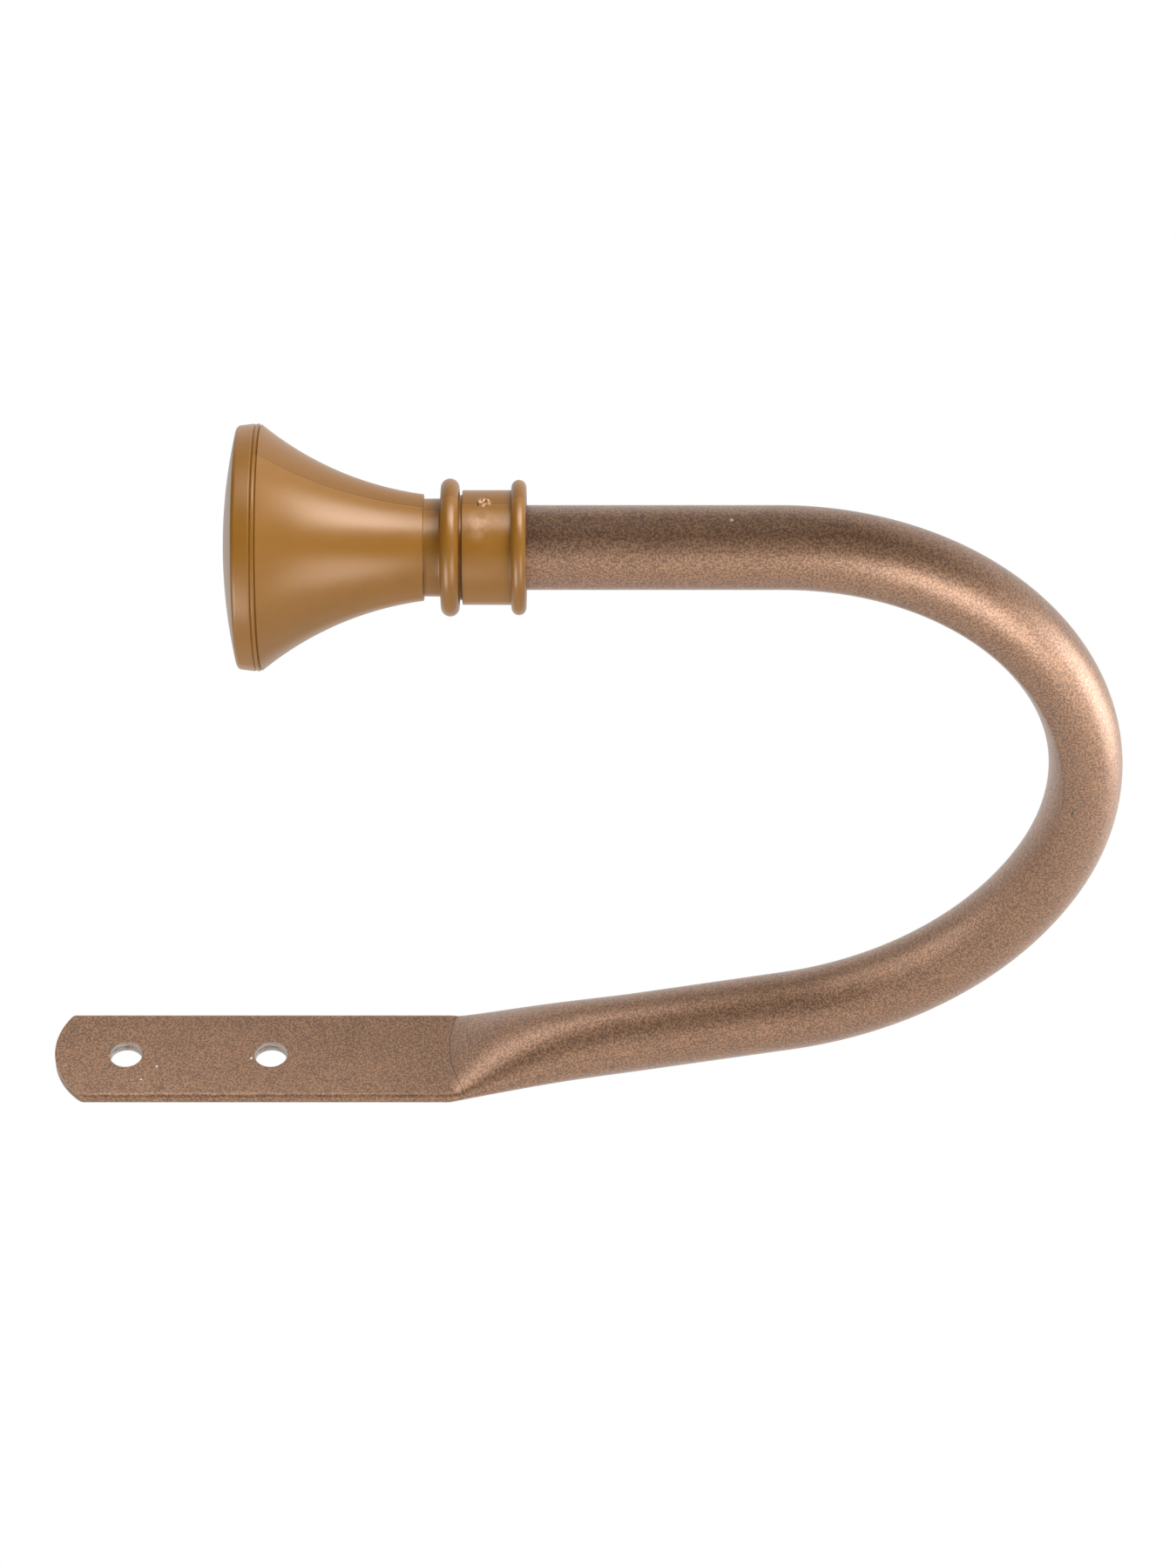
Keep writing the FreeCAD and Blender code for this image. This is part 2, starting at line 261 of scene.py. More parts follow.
def ring_places():
    """Widths z and sides (+1 front, -1 back) once round the strap, from the middle of its back.

    On each folded edge z = FLAT_HALF + FOLD cos(a). On the flats z runs evenly, with lines at the
    hole patches."""
    turn = np.linspace(0, QUARTER_TURN, FOLD_STEPS + 1)
    fold = FLAT_HALF + FOLD * np.cos(turn)
    edge = np.linspace(FLAT_HALF, HOLE_PATCH, EDGE_STEPS + 1)
    patch = np.linspace(HOLE_PATCH, -HOLE_PATCH, PATCH_STEPS + 1)
    front = np.concatenate([fold[:-1], edge[:-1], patch, -edge[::-1][1:], -fold[::-1][1:]])
    back = front[::-1]
    middle = len(front) // 2
    widths = np.concatenate([back[middle:], front[1:], back[1:middle + 1]])
    sides = np.concatenate([-np.ones(middle + 1), np.ones(len(front) - 1), -np.ones(middle)])
    return widths, sides


def fold_height(width, half):
    """Half thickness of a flat section with round edges: sqrt(FOLD^2 - p^2), p = |z| - half + FOLD."""
    past = np.clip(np.abs(width) - (half - FOLD), 0, None)
    return np.sqrt(np.clip(FOLD ** 2 - past ** 2, 0, None))


def strap_points(x, height, width):
    """Points of the strap: its middle plane lies FOLD in front of the wall."""
    x, height, width = np.broadcast_arrays(x, height, width)
    return np.stack([x, -FOLD - height, width], -1)


def hole_grids(centre):
    """The strap round one screw hole, on both sides, and the hole's wall.

    A square of side 2 HOLE_PATCH is drawn in to the hole's circle: at share t a point is
    (1 - s) square + s circle, with s = 1 - (1 - t)^HOLE_DRAW."""
    side = np.linspace(-HOLE_PATCH, HOLE_PATCH, PATCH_STEPS + 1)
    full = np.full(PATCH_STEPS + 1, HOLE_PATCH)
    square_x = np.concatenate([side[:-1], full[:-1], side[::-1][:-1], -full])
    square_z = np.concatenate([-full[:-1], side[:-1], full[:-1], side[::-1]])
    angle = np.arctan2(square_z, square_x)
    share = np.linspace(0, 1, 15)[:, None]
    drawn = 1 - (1 - share) ** HOLE_DRAW
    sink = np.linspace(0, QUARTER_TURN, 6)[:, None]
    rim = HOLE_RADIUS + HOLE_EDGE
    grids = []
    for front in (1, -1):
        x = square_x * (1 - drawn) + rim * np.cos(angle) * drawn
        z = square_z * (1 - drawn) + rim * np.sin(angle) * drawn
        grids.append(strap_points(centre + x, front * FOLD, z))
        radius = rim - HOLE_EDGE * np.sin(sink)
        height = front * (FOLD - HOLE_EDGE * (1 - np.cos(sink)))
        grids.append(strap_points(centre + radius * np.cos(angle), height, radius * np.sin(angle)))
    seam_height, seam_depth = np.array(HOLE_SEAM).T[:, :, None]
    wall = HOLE_RADIUS + seam_depth
    grids.append(strap_points(centre + wall * np.cos(angle), seam_height, wall * np.sin(angle)))
    return grids


def free_end_grid(widths, sides):
    """The strap's bowed free end, its edge rounded, then closed into the seam between the pressed walls.

    x = FREE_END_X + R - sqrt(R^2 - (z - FREE_END_SKEW)^2), with R the radius of the bow, so that the
    cut stands a little askew."""
    bow = (STRAP_HALF ** 2 + FREE_END_BOW ** 2) / (2 * FREE_END_BOW)
    turn = np.linspace(0, QUARTER_TURN, ROUND_POINTS)
    seam_inset, seam_depth = np.array(END_SEAM).T
    inset = np.concatenate([FREE_END_EDGE * (1 - np.cos(turn)), seam_inset])[:, None] / FOLD
    depth = np.concatenate([FREE_END_EDGE * (1 - np.sin(turn)), seam_depth])[:, None]
    past_flat = np.clip(np.abs(widths) - FLAT_HALF, 0, None)
    width = widths - np.sign(widths) * past_flat * inset
    height = sides * fold_height(widths, STRAP_HALF) * (1 - inset)
    x = FREE_END_X + bow - np.sqrt(bow ** 2 - (width - FREE_END_SKEW) ** 2) + depth
    return strap_points(x, height, width)


def crease_ring(widths, sides):
    """The strap's last ring, in a plane across the leg at CREASE_START from the crease."""
    height = sides * fold_height(widths, STRAP_HALF)
    x = CREASE_X + (CREASE_START - height * math.sin(LEG_TILT)) / math.cos(LEG_TILT)
    return strap_points(x, height, widths)


def strap_grids(widths, sides):
    """The flat strap between its free end and the crease: plain bands, with a patch round each hole."""
    end = free_end_grid(widths, sides)
    height = sides * fold_height(widths, STRAP_HALF)
    grids = [end]

    def band(x_from, x_to, steps, keep=slice(None)):
        share = np.linspace(0, 1, steps + 1)[:, None]
        x = x_from + (x_to - x_from) * share
        grids.append(strap_points(x, height, widths)[:, keep])

    beside = np.flatnonzero(np.abs(widths) >= HOLE_PATCH - TINY)
    runs = np.split(beside, np.flatnonzero(np.diff(beside) > 1) + 1)
    left, right = HOLE_CENTRES
    band(end[0, :, 0], left - HOLE_PATCH, 12)
    band(left + HOLE_PATCH, right - HOLE_PATCH, 16)
    band(right + HOLE_PATCH, crease_ring(widths, sides)[:, 0], 24)
    for centre in HOLE_CENTRES:
        for run in runs:
            band(centre - HOLE_PATCH, centre + HOLE_PATCH, PATCH_STEPS, run)
        grids.extend(hole_grids(centre))
    return grids


def along(heading):
    """Unit direction of the tube at a heading, 0 along the strap and pi along the arm."""
    return np.stack([np.cos(heading), -np.sin(heading), np.zeros_like(heading)], -1)


def inward(heading):
    """Unit direction across the tube towards the inside of the bend."""
    return np.stack([-np.sin(heading), -np.cos(heading), np.zeros_like(heading)], -1)


def route(distance):
    """Centre, heading and crush along the tube from the crease: leg, two arcs of unlike radius, arm.

    On an arc of radius r the centre moves by r (n(h0) - n(h)), n being the inward direction. The crush
    is BEND_CRUSH sin(pi t^k)^CRUSH_FADE, t being the share of the turn, with its peak at CRUSH_PEAK."""
    lower = LOWER_RADIUS * LOWER_TURN
    upper = UPPER_RADIUS * UPPER_TURN
    on_leg = np.minimum(distance, LEG_LENGTH)
    on_lower = np.clip(distance - LEG_LENGTH, 0, lower) / LOWER_RADIUS
    on_upper = np.clip(distance - LEG_LENGTH - lower, 0, upper) / UPPER_RADIUS
    on_arm = np.clip(distance - LEG_LENGTH - lower - upper, 0, None)
    first = np.full_like(distance, LEG_TILT)
    second = first + LOWER_TURN
    centre = np.array([CREASE_X, -FOLD, 0.0]) + along(first) * on_leg[:, None]
    centre = centre + LOWER_RADIUS * (inward(first) - inward(first + on_lower))
    centre = centre + UPPER_RADIUS * (inward(second) - inward(second + on_upper))
    centre = centre + along(np.full_like(distance, math.pi)) * on_arm[:, None]
    turned = (on_lower + on_upper) / (LOWER_TURN + UPPER_TURN)
    skew = math.log(0.5) / math.log(CRUSH_PEAK)
    crush = BEND_CRUSH * np.clip(np.sin(math.pi * turned ** skew), 0, None) ** CRUSH_FADE
    return centre, first + on_lower + on_upper, crush


def taper_left(distance):
    """Share of the taper still ahead: 1 at the crease, 0 where the tube is round."""
    return np.clip(1 - distance / TAPER_LENGTH, 0, 1)


def belly(depth, half, width):
    """Lower half of a pressed section: a wide arc between two side arcs, tangent where they meet."""
    roundness = (math.sqrt(2) - 1) * (depth / half) ** 2
    side = (depth - roundness * half) / np.maximum(1 - roundness, TINY)
    reach = half - side
    is_round = reach < ROUND_ENOUGH
    ratio = np.where(is_round, math.tan(math.pi / 8), (depth - side) / np.where(is_round, 1, reach))
    slant = QUARTER_TURN - 2 * np.arctan(ratio)
    corner = reach + side * np.cos(slant)
    sag = depth - side * np.sin(slant)
    wide = (corner ** 2 + sag ** 2) / (2 * np.maximum(sag, TINY))
    middle = depth - wide + np.sqrt(np.clip(wide ** 2 - width ** 2, 0, None))
    edge = np.sqrt(np.clip(side ** 2 - (np.abs(width) - reach) ** 2, 0, None))
    return np.where(np.abs(width) > corner, edge, middle)


def taper_front(distance, width, arch):
    """Inner face of the taper: the crown rises through the end of the flat strap, which narrows to a tongue.

    Crown = h arch, arch = sqrt(1 - c^2) at share c of the half width, h = R - (R - FOLD) (1 - d/L)^3."""
    tongue = np.sqrt(np.clip(TONGUE_LENGTH ** 2 - np.clip(distance, 0, None) ** 2, 0, None))
    strap_half = STRAP_HALF - TONGUE_LENGTH + tongue
    flat = fold_height(width, strap_half) / math.cos(LEG_TILT) - distance * math.tan(LEG_TILT)
    on_strap = (np.abs(width) <= strap_half) & (distance <= TONGUE_LENGTH)
    strap = np.where(on_strap, flat, FAR_BELOW)
    crown = (TUBE_RADIUS - (TUBE_RADIUS - FOLD) * taper_left(distance) ** CROWN_POWER) * arch
    return np.where(distance < 0, strap, soft_max(crown, strap, CREASE_BLEND))


def taper_back(distance, half, width):
    """Outer face of the taper: it lies on the wall at the crease and leaves it as the belly deepens.

    Depth = w - g (d/L)^(l/g) + BELLY_PRESS (1 - d/L)^2, w being the wall's depth below the centre."""
    wall = FOLD / math.cos(LEG_TILT) + distance * math.tan(LEG_TILT)
    lift = TAPER_LENGTH * math.tan(LEG_TILT)
    gap = FOLD / math.cos(LEG_TILT) + lift - TUBE_RADIUS
    gone = np.clip(distance / TAPER_LENGTH, 0, 1)
    depth = wall - gap * gone ** (lift / gap) + BELLY_PRESS * (1 - gone) ** 2
    pressed = np.minimum(belly(np.maximum(depth, BELLY_LEAST), half, width), wall)
    flat = fold_height(width, STRAP_HALF) / math.cos(LEG_TILT) + distance * math.tan(LEG_TILT)
    return np.where(distance < 0, flat, pressed)


def bend_front(width, arch, crush):
    """Inner face of the bend: the round R arch, cut by the flatter arc that the bending form presses in.

    The flatter arc passes through the ridges at RIDGE_ANGLE and lies the crush below the round's top."""
    ridge_half = TUBE_RADIUS * math.sin(RIDGE_ANGLE)
    ridge_height = TUBE_RADIUS * math.cos(RIDGE_ANGLE)
    sag = TUBE_RADIUS - crush - ridge_height
    curve = (ridge_half ** 2 + sag ** 2) / (2 * sag)
    form = ridge_height + sag - curve + np.sqrt(curve ** 2 - np.minimum(np.abs(width), curve) ** 2)
    cut = -soft_max(-TUBE_RADIUS * arch, -form, RIDGE_BLEND * crush / BEND_CRUSH + TINY)
    return np.where(crush > CRUSH_LEAST, cut, TUBE_RADIUS * arch)


def tube_grids(widths, sides):
    """The tube from the crease to its open end: a ring of width W(d) c at each distance d along the route.

    W = R + (STRAP_HALF - R) (1 - d/L)^1.5 over the taper, and c is the ring's share of the half width."""
    bend_end = LEG_LENGTH + LOWER_RADIUS * LOWER_TURN + UPPER_RADIUS * UPPER_TURN
    total = bend_end + ARM_LENGTH
    distance = np.concatenate([
        np.arange(CREASE_START, FINE_TAPER, 0.15),
        np.arange(FINE_TAPER, TAPER_LENGTH, 0.5),
        np.linspace(TAPER_LENGTH, LEG_LENGTH, 16),
        np.linspace(LEG_LENGTH, bend_end, 200)[1:],
        np.linspace(bend_end, total - TUBE_EDGE, 24)[1:]])
    centre, heading, crush = route(distance)
    distance = distance[:, None]
    half = TUBE_RADIUS + (STRAP_HALF - TUBE_RADIUS) * taper_left(distance) ** SIDE_POWER
    share = widths / STRAP_HALF
    edge = np.abs(share) > 1 - TINY
    arch = np.where(edge, 0.0, np.sqrt(np.clip(1 - share ** 2, 0, None)))
    width = half * share
    on_taper = distance <= TAPER_LENGTH
    front = np.where(on_taper, taper_front(distance, width, arch), bend_front(width, arch, crush[:, None]))
    back = np.where(on_taper, taper_back(distance, half, width), TUBE_RADIUS * arch)
    height = np.where(sides > 0, front, -back)
    height = np.where(edge & (distance > 0), 0.0, height)
    body = centre[:, None] + inward(heading)[:, None] * height[..., None]
    body[..., 2] += width
    body[0] = crease_ring(widths, sides)

    turn = np.linspace(0, QUARTER_TURN, ROUND_POINTS)
    bore = TUBE_RADIUS - TUBE_WALL
    outer_edge = TUBE_RADIUS - TUBE_EDGE * (1 - np.cos(turn))
    inner_edge = bore + TUBE_EDGE * (1 - np.sin(turn))
    radius = np.concatenate([outer_edge, inner_edge, [bore, BORE_CLOSED]])[:, None]
    past = np.concatenate([np.sin(turn) - 1, np.cos(turn) - 1])
    past = np.concatenate([TUBE_EDGE * past, [-BORE_SHOWN, -BORE_SHOWN]])[:, None]
    tip, _, _ = route(np.array([total]))
    mouth = tip + np.zeros((len(radius), len(widths), 3))
    mouth[..., 0] -= past
    mouth[..., 1] += radius * sides * arch
    mouth[..., 2] += radius * share
    return [body, mouth]


def rounded(corners):
    """A closed outline of (q, r, fillet) corners, each corner turned by a small quadratic curve."""
    spots = np.array([(q, r) for q, r, _ in corners], float)
    fillet = np.array([f for _, _, f in corners], float)[:, None]
    before = np.roll(spots, 1, 0) - spots
    after = np.roll(spots, -1, 0) - spots
    first = spots + before / np.linalg.norm(before, axis=1)[:, None] * fillet
    last = spots + after / np.linalg.norm(after, axis=1)[:, None] * fillet
    t = np.linspace(0, 1, ROUND_POINTS)[None, :, None]
    curve = (1 - t) ** 2 * first[:, None] + 2 * t * (1 - t) * spots[:, None] + t ** 2 * last[:, None]
    kept = np.where(fillet[:, None] > 0, curve, spots[:, None])
    return kept.reshape(-1, 2)


def arc_corners(centre_q, centre_r, radius, start, end, steps):
    """Corners along an arc about (centre_q, centre_r), in degrees, 0 towards larger q and 90 outward."""
    turn = np.radians(np.linspace(start, end, steps + 1))
    return [(centre_q + radius * math.cos(a), centre_r + radius * math.sin(a), 0.0) for a in turn]


def flare_corners(start, end, curve, steps):
    """Corners along the flare, an arc about FLARE_CENTRE, or along its hollow side by a larger radius."""
    turn = np.radians(np.linspace(start, end, steps))
    centre_q, centre_r = FLARE_CENTRE
    return [(centre_q + curve * math.sin(a), centre_r - curve * math.cos(a), 0.0) for a in turn]


def turned_grid(outline, ridge_from=0, ridge_to=0):
    """An outline of (q, r) turned about the arm's axis, with a fine parting line on two opposite sides.

    Between two places in the outline r is raised by PARTING_HEIGHT exp(-(s / PARTING_WIDTH)^2), s being
    the distance round from the line."""
    fine = np.linspace(-PARTING_SPAN, PARTING_SPAN, 19)
    coarse = np.linspace(PARTING_SPAN, math.pi - PARTING_SPAN, 82)[1:-1]
    angle = np.concatenate([fine, coarse, math.pi + fine, math.pi + coarse, [2 * math.pi - PARTING_SPAN]])
    q = outline[:, :1]
    r = outline[:, 1:]
    beside = np.abs(np.sin(angle)) * r
    place = np.arange(len(outline))[:, None]
    on_ridge = (place >= ridge_from) & (place < ridge_to)
    r = r + np.where(on_ridge, PARTING_HEIGHT * np.exp(-(beside / PARTING_WIDTH) ** 2), 0.0)
    x = np.broadcast_to(MOUTH_X - q, r.shape)
    return np.stack([x, ARM_Y - r * np.cos(angle), r * np.sin(angle)], -1)


def finial_grid():
    """The trumpet finial's outline, turned: socket, bead, collar, bead, neck, flare, rim and hollow."""
    corners = [*SOCKET_CORNERS]
    corners += arc_corners(*MOUTH_BEAD, 250, 90, 14)
    corners += arc_corners(*MOUTH_BEAD, 82, -20, 10)
    corners += COLLAR_CORNERS
    corners += arc_corners(*NECK_BEAD, 165, 15, 14)
    corners += NECK_CORNERS
    corners += flare_corners(*FLARE_ANGLES, FLARE_CURVE, 45)
    flare_end = len(corners)
    corners += RIM_CORNERS
    corners += RECESS_CORNERS
    corners += flare_corners(*HOLLOW_ANGLES, FLARE_CURVE + FINIAL_WALL, 24)
    corners += WEB_CORNERS
    return turned_grid(rounded(corners), ROUND_POINTS * len(SOCKET_CORNERS), ROUND_POINTS * flare_end)


def cap_grid():
    """The cap's closed outline, turned: spigot, band with its edge eased, and a dome cut from a sphere.

    The sphere of radius s meets the edge's round without a corner: s = (e^2 + d^2 - c^2) / (2 (d - c))."""
    edge = RIM_RADIUS - BAND_DRAFT - CAP_EDGE
    sphere = (edge ** 2 + CAP_DOME ** 2 - CAP_EDGE ** 2) / (2 * (CAP_DOME - CAP_EDGE))
    centre = BAND_END + CAP_DOME - sphere
    tilt = math.degrees(math.atan2(edge, BAND_END - centre))
    inner = sphere - CAP_WALL
    hollow = SPIGOT_RADIUS - SPIGOT_WALL
    hollow_tilt = math.degrees(math.asin(hollow / inner))
    corners = [(SPIGOT_END, SPIGOT_RADIUS, 0.3), (SEAM, SPIGOT_RADIUS, 0.1)]
    corners += [(SEAM, RIM_RADIUS - SEAM_BEVEL, 0.05), (SEAM + SEAM_BEVEL, RIM_RADIUS, 0.08)]
    corners += arc_corners(BAND_END, edge, CAP_EDGE, 90, tilt, 10)
    corners += arc_corners(centre, 0.0, sphere, tilt * 0.985, POLE_ANGLE, 40)
    corners += arc_corners(centre, 0.0, inner, POLE_ANGLE, hollow_tilt, 18)
    corners += [(SPIGOT_END, hollow, 0.3)]
    outline = rounded(corners)
    return turned_grid(np.concatenate([outline, outline[:1]]))


def gate_grid():
    """The torn nub left by the mould's gate on the collar: a low cap of radius a with a cratered, uneven top.

    At share s of the radius its height is GATE_HEIGHT (1 - s^6) - GATE_CRATER exp(-(s / CRATER_SHARE)^2)
    + GATE_TEAR (sin 5t + sin(3t + 1)) s (1 - s^4), and
    a = GATE_RADIUS (1 + 0.08 sin(3t + 0.6) + 0.05 sin 7t)."""
    share = np.linspace(0.0005, 1, 22)[:, None]
    turn = np.linspace(0, 2 * math.pi, 61)[None]
    place = GATE_RADIUS * share * (1 + 0.08 * np.sin(3 * turn + 0.6) + 0.05 * np.sin(7 * turn))
    tear = GATE_TEAR * (np.sin(5 * turn) + np.sin(3 * turn + 1)) * share * (1 - share ** 4)
    height = GATE_HEIGHT * (1 - share ** 6) - GATE_CRATER * np.exp(-(share / CRATER_SHARE) ** 2) + tear
    x = MOUTH_X - GATE_PLACE + place * np.cos(turn)
    z = GATE_SIDE + place * np.sin(turn)
    collar_y = ARM_Y - np.sqrt(COLLAR_RADIUS ** 2 - z ** 2)
    top = np.stack([x, collar_y - height + GATE_BED, z], -1)
    under = np.stack([x, collar_y + GATE_ROOT, z], -1)
    return np.concatenate([top, under[::-1]])


class Socket:
    """A node's output that does sums: each operator adds the Math node that works it out."""

    def __init__(self, shader, socket):
        self.shader = shader
        self.socket = socket

    def maths(self, operation, *values):
        return self.shader.node("ShaderNodeMath", {"operation": operation}, dict(enumerate(values)))

    def __add__(self, other):
        return self.maths("ADD", self, other)

    __radd__ = __add__

    def __sub__(self, other):
        return self.maths("SUBTRACT", self, other)

    def __rsub__(self, other):
        return self.maths("SUBTRACT", other, self)

    def __mul__(self, other):
        return self.maths("MULTIPLY", self, other)

    def __pow__(self, power):
        return self.maths("POWER", self, power)

    def size(self):
        return self.maths("ABSOLUTE", self)

    def lower(self, other):
        return self.maths("MINIMUM", self, other)

    def upper(self, other):
        return self.maths("MAXIMUM", self, other)


class Shader:
    """The nodes of one material or world and its main shader, with a method that adds any other node."""

    def __init__(self, owner, main="Principled BSDF"):
        owner.use_nodes = True
        self.owner = owner
        self.tree = owner.node_tree
        self.main = self.tree.nodes[main]

    def node(self, kind, settings, inputs, output=0):
        """Adds a node, sets its settings, then its inputs, and returns one of its outputs."""
        made = self.tree.nodes.new(kind)
        for name, value in settings.items():
            setattr(made, name, value)
        for name, value in inputs.items():
            self.feed(made.inputs[name], value)
        return Socket(self, made.outputs[output])

    def feed(self, target, value):
        """Links a socket to an input, or sets the input to a constant."""
        if isinstance(value, Socket):
            self.tree.links.new(value.socket, target)
        else:
            target.default_value = value

    def set(self, **inputs):
        """Feeds the main shader's inputs, with _ for each space in a name."""
        for name, value in inputs.items():
            self.feed(self.main.inputs[name.replace("_", " ")], value)

    def place(self):
        """Object coordinates in metres, and their three parts."""
        spot = self.node("ShaderNodeTexCoord", {}, {}, "Object")
        parts = [self.node("ShaderNodeSeparateXYZ", {}, {0: spot}, axis) for axis in range(3)]
        return spot, parts

    def noise(self, spot, scale, detail=2.0, roughness=0.5):
        return self.node(
            "ShaderNodeTexNoise", {},
            {"Vector": spot, "Scale": scale, "Detail": detail, "Roughness": roughness})

    def bump(self, height, strength, distance):
        return self.node(
            "ShaderNodeBump", {}, {"Strength": strength, "Distance": distance, "Height": height})

    def ray(self, *kinds):
        """1 for rays of the named kinds, such as camera or glossy rays, else 0."""
        path = [self.node("ShaderNodeLightPath", {}, {}, "Is %s Ray" % kind) for kind in kinds]
        share = path[0]
        for other in path[1:]:
            share = share.upper(other)
        return share

    def ease(self, value, low, high):
        """0 at low and 1 at high, smooth between."""
        return self.node(
            "ShaderNodeMapRange", {"interpolation_type": "SMOOTHSTEP"},
            {"Value": value, "From Min": low, "From Max": high})

    def mix(self, share, first, second):
        return self.node(
            "ShaderNodeMix", {"data_type": "RGBA"}, {"Factor": share, 6: first, 7: second}, 2)

    def near(self, spot, centre, radius, soft=0.4):
        """1 about a point given in millimetres, easing to 0 over the outer part of the radius."""
        away = self.node(
            "ShaderNodeVectorMath", {"operation": "DISTANCE"},
            {0: spot, 1: tuple(c * MM for c in centre)}, "Value")
        return self.ease(away, radius * MM, radius * MM * (1 - soft))


def linear(red, green, blue):
    """An sRGB colour of 0 to 255 as linear RGBA."""
    tone = np.array([red, green, blue]) / 255
    level = np.where(tone <= 0.04045, tone / 12.92, ((tone + 0.055) / 1.055) ** 2.4)
    return (*level.tolist(), 1.0)


def coated_tube_material():
    """Rose-bronze powder coat: pale flakes in a brown ground, painted shade along the crease, bare metal in
    the holes, specks and a nick.
    """
    coat = Shader(bpy.data.materials.new("coated tube"))
    spot, (x, y, z) = coat.place()
    fine = coat.noise(spot, 2400.0, 2.0, 0.6)
    flake = coat.ease(fine, 0.37, 0.65)
    cloud = coat.noise(spot, 160.0, 3.0)
    share = (flake * 0.8 + (cloud - 0.5) * 0.25 + 0.1).lower(1.0).upper(0.0)
    colour = coat.mix(share, linear(*COAT_GROUND), linear(*COAT_FLAKE))

    # Painted shade: a dark line along the crease, a shallow bow across the strap's front, a little askew.
    from_crease = (x - (CREASE_X + CREASE_OFFSET) * MM - z * z * CREASE_CURVE + z * CREASE_SKEW).size()
    on_front = coat.ease(y, -2.0 * MM, -2.3 * MM)
    crease_shade = coat.ease(from_crease, 0.22 * MM, 0.05 * MM) * on_front
    colour = coat.mix(crease_shade * 0.75, colour, linear(*CREASE_SHADE_TONE))

    # Both holes lie at one distance from x = 0, so that one circle in |x| finds them.
    across = x.size() - HOLE_CENTRES[1] * MM
    away = (across * across + z * z) ** 0.5
    in_hole = coat.ease(away, (HOLE_RADIUS + 0.22) * MM, (HOLE_RADIUS + 0.02) * MM)
    patchy = coat.ease(coat.noise(spot, 900.0), 0.35, 0.55)
    colour = coat.mix(in_hole * (patchy * 0.6 + 0.4), colour, linear(*BARE_METAL))

    for centre, radius in SPECKS:
        colour = coat.mix(coat.near(spot, centre, radius), colour, linear(*SPECK_TONE))
    first, second, third = [coat.near(spot, centre, radius) for centre, radius in NICK]
    nick = first.upper(second).upper(third)
    colour = coat.mix(nick, colour, linear(*NICK_TONE))

    coat.set(
        Base_Color=colour, Roughness=0.46 + (fine - 0.5) * 0.2, Metallic=0.75 - nick * 0.75,
        Normal=coat.bump(fine, 0.22, 0.00006), Specular_IOR_Level=0.4, Coat_Weight=0.9, Coat_IOR=1.8,
        Coat_Roughness=0.42)
    return coat.owner


def pearl_plastic_material():
    """Old-gold pearl plastic: a golden body with faint flow marks and painted shade on its upper half, under
    a satin, faintly pink surface.
    """
    pearl = Shader(bpy.data.materials.new("pearl plastic"))
    spot, (x, _, z) = pearl.place()
    flow = pearl.noise(spot, 220.0, 3.0)
    grain = pearl.noise(spot, 3200.0, 1.0)
    share = ((flow - 0.5) * 0.5 + (grain - 0.5) * 0.35 + 0.5).lower(1.0).upper(0.0)
    colour = pearl.mix(share, linear(*PEARL_DEEP), linear(*PEARL_PALE))

    # Painted shade darkens the finial's upper half a little; its two moulded halves meet in a dark parting
    # line.
    seam_x = MOUTH_X - SEAM
    on_finial = pearl.ease(x, (seam_x - 0.05) * MM, (seam_x + 0.05) * MM)
    shaded_upper_half = pearl.ease(z, 0.1 * MM, 0.5 * MM) * on_finial
    colour = pearl.mix(shaded_upper_half * 0.35, colour, linear(*PEARL_UPPER_SHADE))
    parting = pearl.ease((z - 0.1 * MM).size(), 0.22 * MM, 0.06 * MM) * on_finial
    colour = pearl.mix(parting * 0.7, colour, linear(*PARTING_TONE))

    torn = pearl.near(spot, *TORN_SPOT, 0.35)
    flecks = pearl.ease(pearl.noise(spot, 1500.0), 0.45, 0.6)
    smear = pearl.near(spot, *SMEAR_SPOT, 0.9) * pearl.ease(pearl.noise(spot, 420.0, 3.0), 0.35, 0.7)
    colour = pearl.mix((smear * 0.3).upper(torn * flecks * 0.5), colour, linear(*TORN_TONE))

    pearl.set(
        Base_Color=colour, Roughness=0.34 + (flow - 0.5) * 0.08, Normal=pearl.bump(grain, 0.08, 0.00004),
        Metallic=0.05, Specular_IOR_Level=0.5, Specular_Tint=(1.0, 0.92, 0.88, 1.0), Coat_Weight=0.05,
        Coat_Roughness=0.3, Coat_Tint=(1.0, 0.93, 0.86, 1.0))
    return pearl.owner


def floor_material():
    """A pale matt floor, which is seen directly as nearly white and still takes a faint shadow."""
    pale = Shader(bpy.data.materials.new("pale floor"))
    pale.set(Base_Color=(0.92, 0.92, 0.92, 1.0), Roughness=0.9)
    seen = pale.ray("Camera", "Glossy", "Transmission")
    glow = pale.node("ShaderNodeEmission", {}, {"Color": (1.0, 1.0, 1.0, 1.0), "Strength": 1.0})
    matt = Socket(pale, pale.main.outputs[0])
    both = pale.node("ShaderNodeMixShader", {}, {0: seen * FLOOR_GLOW, 1: matt, 2: glow})
    pale.feed(pale.tree.nodes["Material Output"].inputs["Surface"], both)
    return pale.owner


def white_world():
    """Surroundings seen directly as white, with a backdrop that lights softly and shows in the gloss.

    The backdrop fades with the cosine of the angle to BACKDROP_FADE, towards the lens and the left."""
    world = Shader(bpy.data.worlds.new("white surroundings"), "Background")
    direction = world.node("ShaderNodeTexCoord", {}, {}, "Generated")
    facing = world.node(
        "ShaderNodeVectorMath", {"operation": "DOT_PRODUCT"}, {0: direction, 1: BACKDROP_FADE}, "Value")
    backdrop = world.ease(facing, *BACKDROP_EDGE)
    shown = world.ray("Glossy", "Transmission").upper(BACKDROP_LIGHT) * backdrop
    world.set(Color=(1.0, 1.0, 1.0, 1.0), Strength=world.ray("Camera").upper(shown))
    bpy.context.scene.world = world.owner


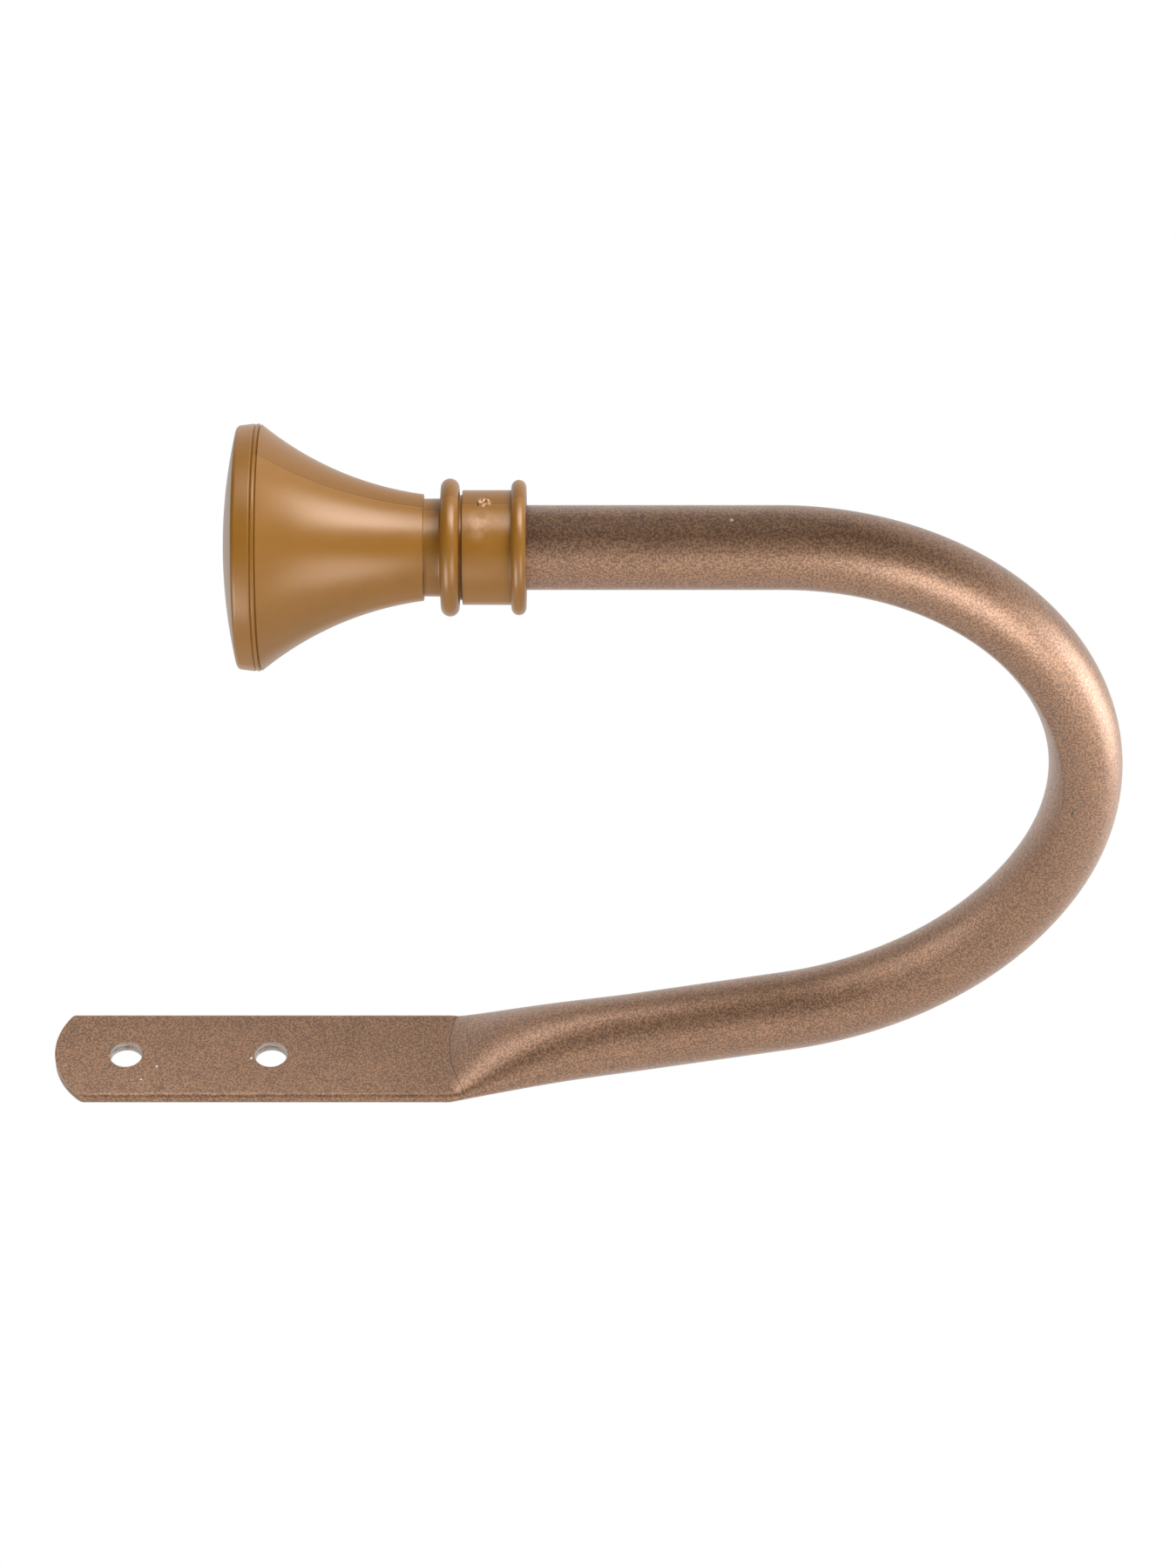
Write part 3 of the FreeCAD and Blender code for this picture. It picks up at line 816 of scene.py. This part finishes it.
def lit_group(name, pieces):
    """A group of pieces lit by one set of lamps: metal and plastic each have those that suit them."""
    group = bpy.data.collections.new(name)
    for piece in pieces:
        group.objects.link(piece)
    return group


def lamp(direction, distance, size, power, aim, group):
    """A soft lamp at a direction (right, up, towards the lens) and distance from its aim, for one group."""
    light = bpy.data.lights.new("lamp", "AREA")
    light.shape = "RECTANGLE"
    light.size, light.size_y = size
    light.energy = power
    item = bpy.data.objects.new("lamp", light)
    bpy.context.scene.collection.objects.link(item)
    axes = Matrix((CAMERA_RIGHT, CAMERA_UP, CAMERA_BACK)).transposed()
    away = axes @ Vector(direction).normalized()
    item.location = Vector(aim) + away * distance
    item.rotation_euler = away.to_track_quat("Z", "Y").to_euler()
    item.visible_camera = False
    item.light_linking.receiver_collection = group


def set_camera():
    """The camera, a long lens that looks up at the holdback's front from below."""
    camera_data = bpy.data.cameras.new("camera")
    camera_data.lens = CAMERA_LENS
    camera_data.sensor_width = CAMERA_SENSOR
    camera_data.clip_end = CAMERA_REACH
    camera = bpy.data.objects.new("camera", camera_data)
    bpy.context.scene.collection.objects.link(camera)
    axes = Matrix((CAMERA_RIGHT, CAMERA_UP, CAMERA_BACK)).transposed().to_4x4()
    camera.matrix_world = Matrix.Translation(CAMERA_PLACE) @ axes
    bpy.context.scene.camera = camera


ring = ring_places()
tube = mesh_piece("coated_bend", strap_grids(*ring) + tube_grids(*ring))
finial = mesh_piece("finial_trumpet", [finial_grid()])
cap = mesh_piece("finial_dome", [cap_grid()])
gate = mesh_piece("gate_scar", [gate_grid()])

tube.data.materials.append(coated_tube_material())
pearl_plastic = pearl_plastic_material()
for piece in (finial, cap, gate):
    piece.data.materials.append(pearl_plastic)

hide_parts("bent_tube")
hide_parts("trumpet_finial")
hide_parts("finial_cap")
for piece in (tube, finial, cap, gate):
    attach(piece, "root")

bpy.ops.mesh.primitive_plane_add(size=FLOOR_SIZE, location=FLOOR_PLACE)
floor = bpy.context.active_object
floor.name = "floor"
floor.data.materials.append(floor_material())

white_world()
tube_lit = lit_group("lit with the tube", (tube, floor))
finial_lit = lit_group("lit with the finial", (finial, cap, gate))
for direction, power in TUBE_LAMPS:
    lamp(direction, FAR, FAR_SIZE, power, MIDDLE, tube_lit)
for near_lamp in NEAR_LAMPS:
    lamp(*near_lamp, tube_lit)
for direction, power in FINIAL_LAMPS:
    lamp(direction, FAR, FAR_SIZE, power, MIDDLE, finial_lit)
lamp(*FINIAL_STRIP, finial_lit)
set_camera()
bpy.context.scene.view_settings.view_transform = "Standard"
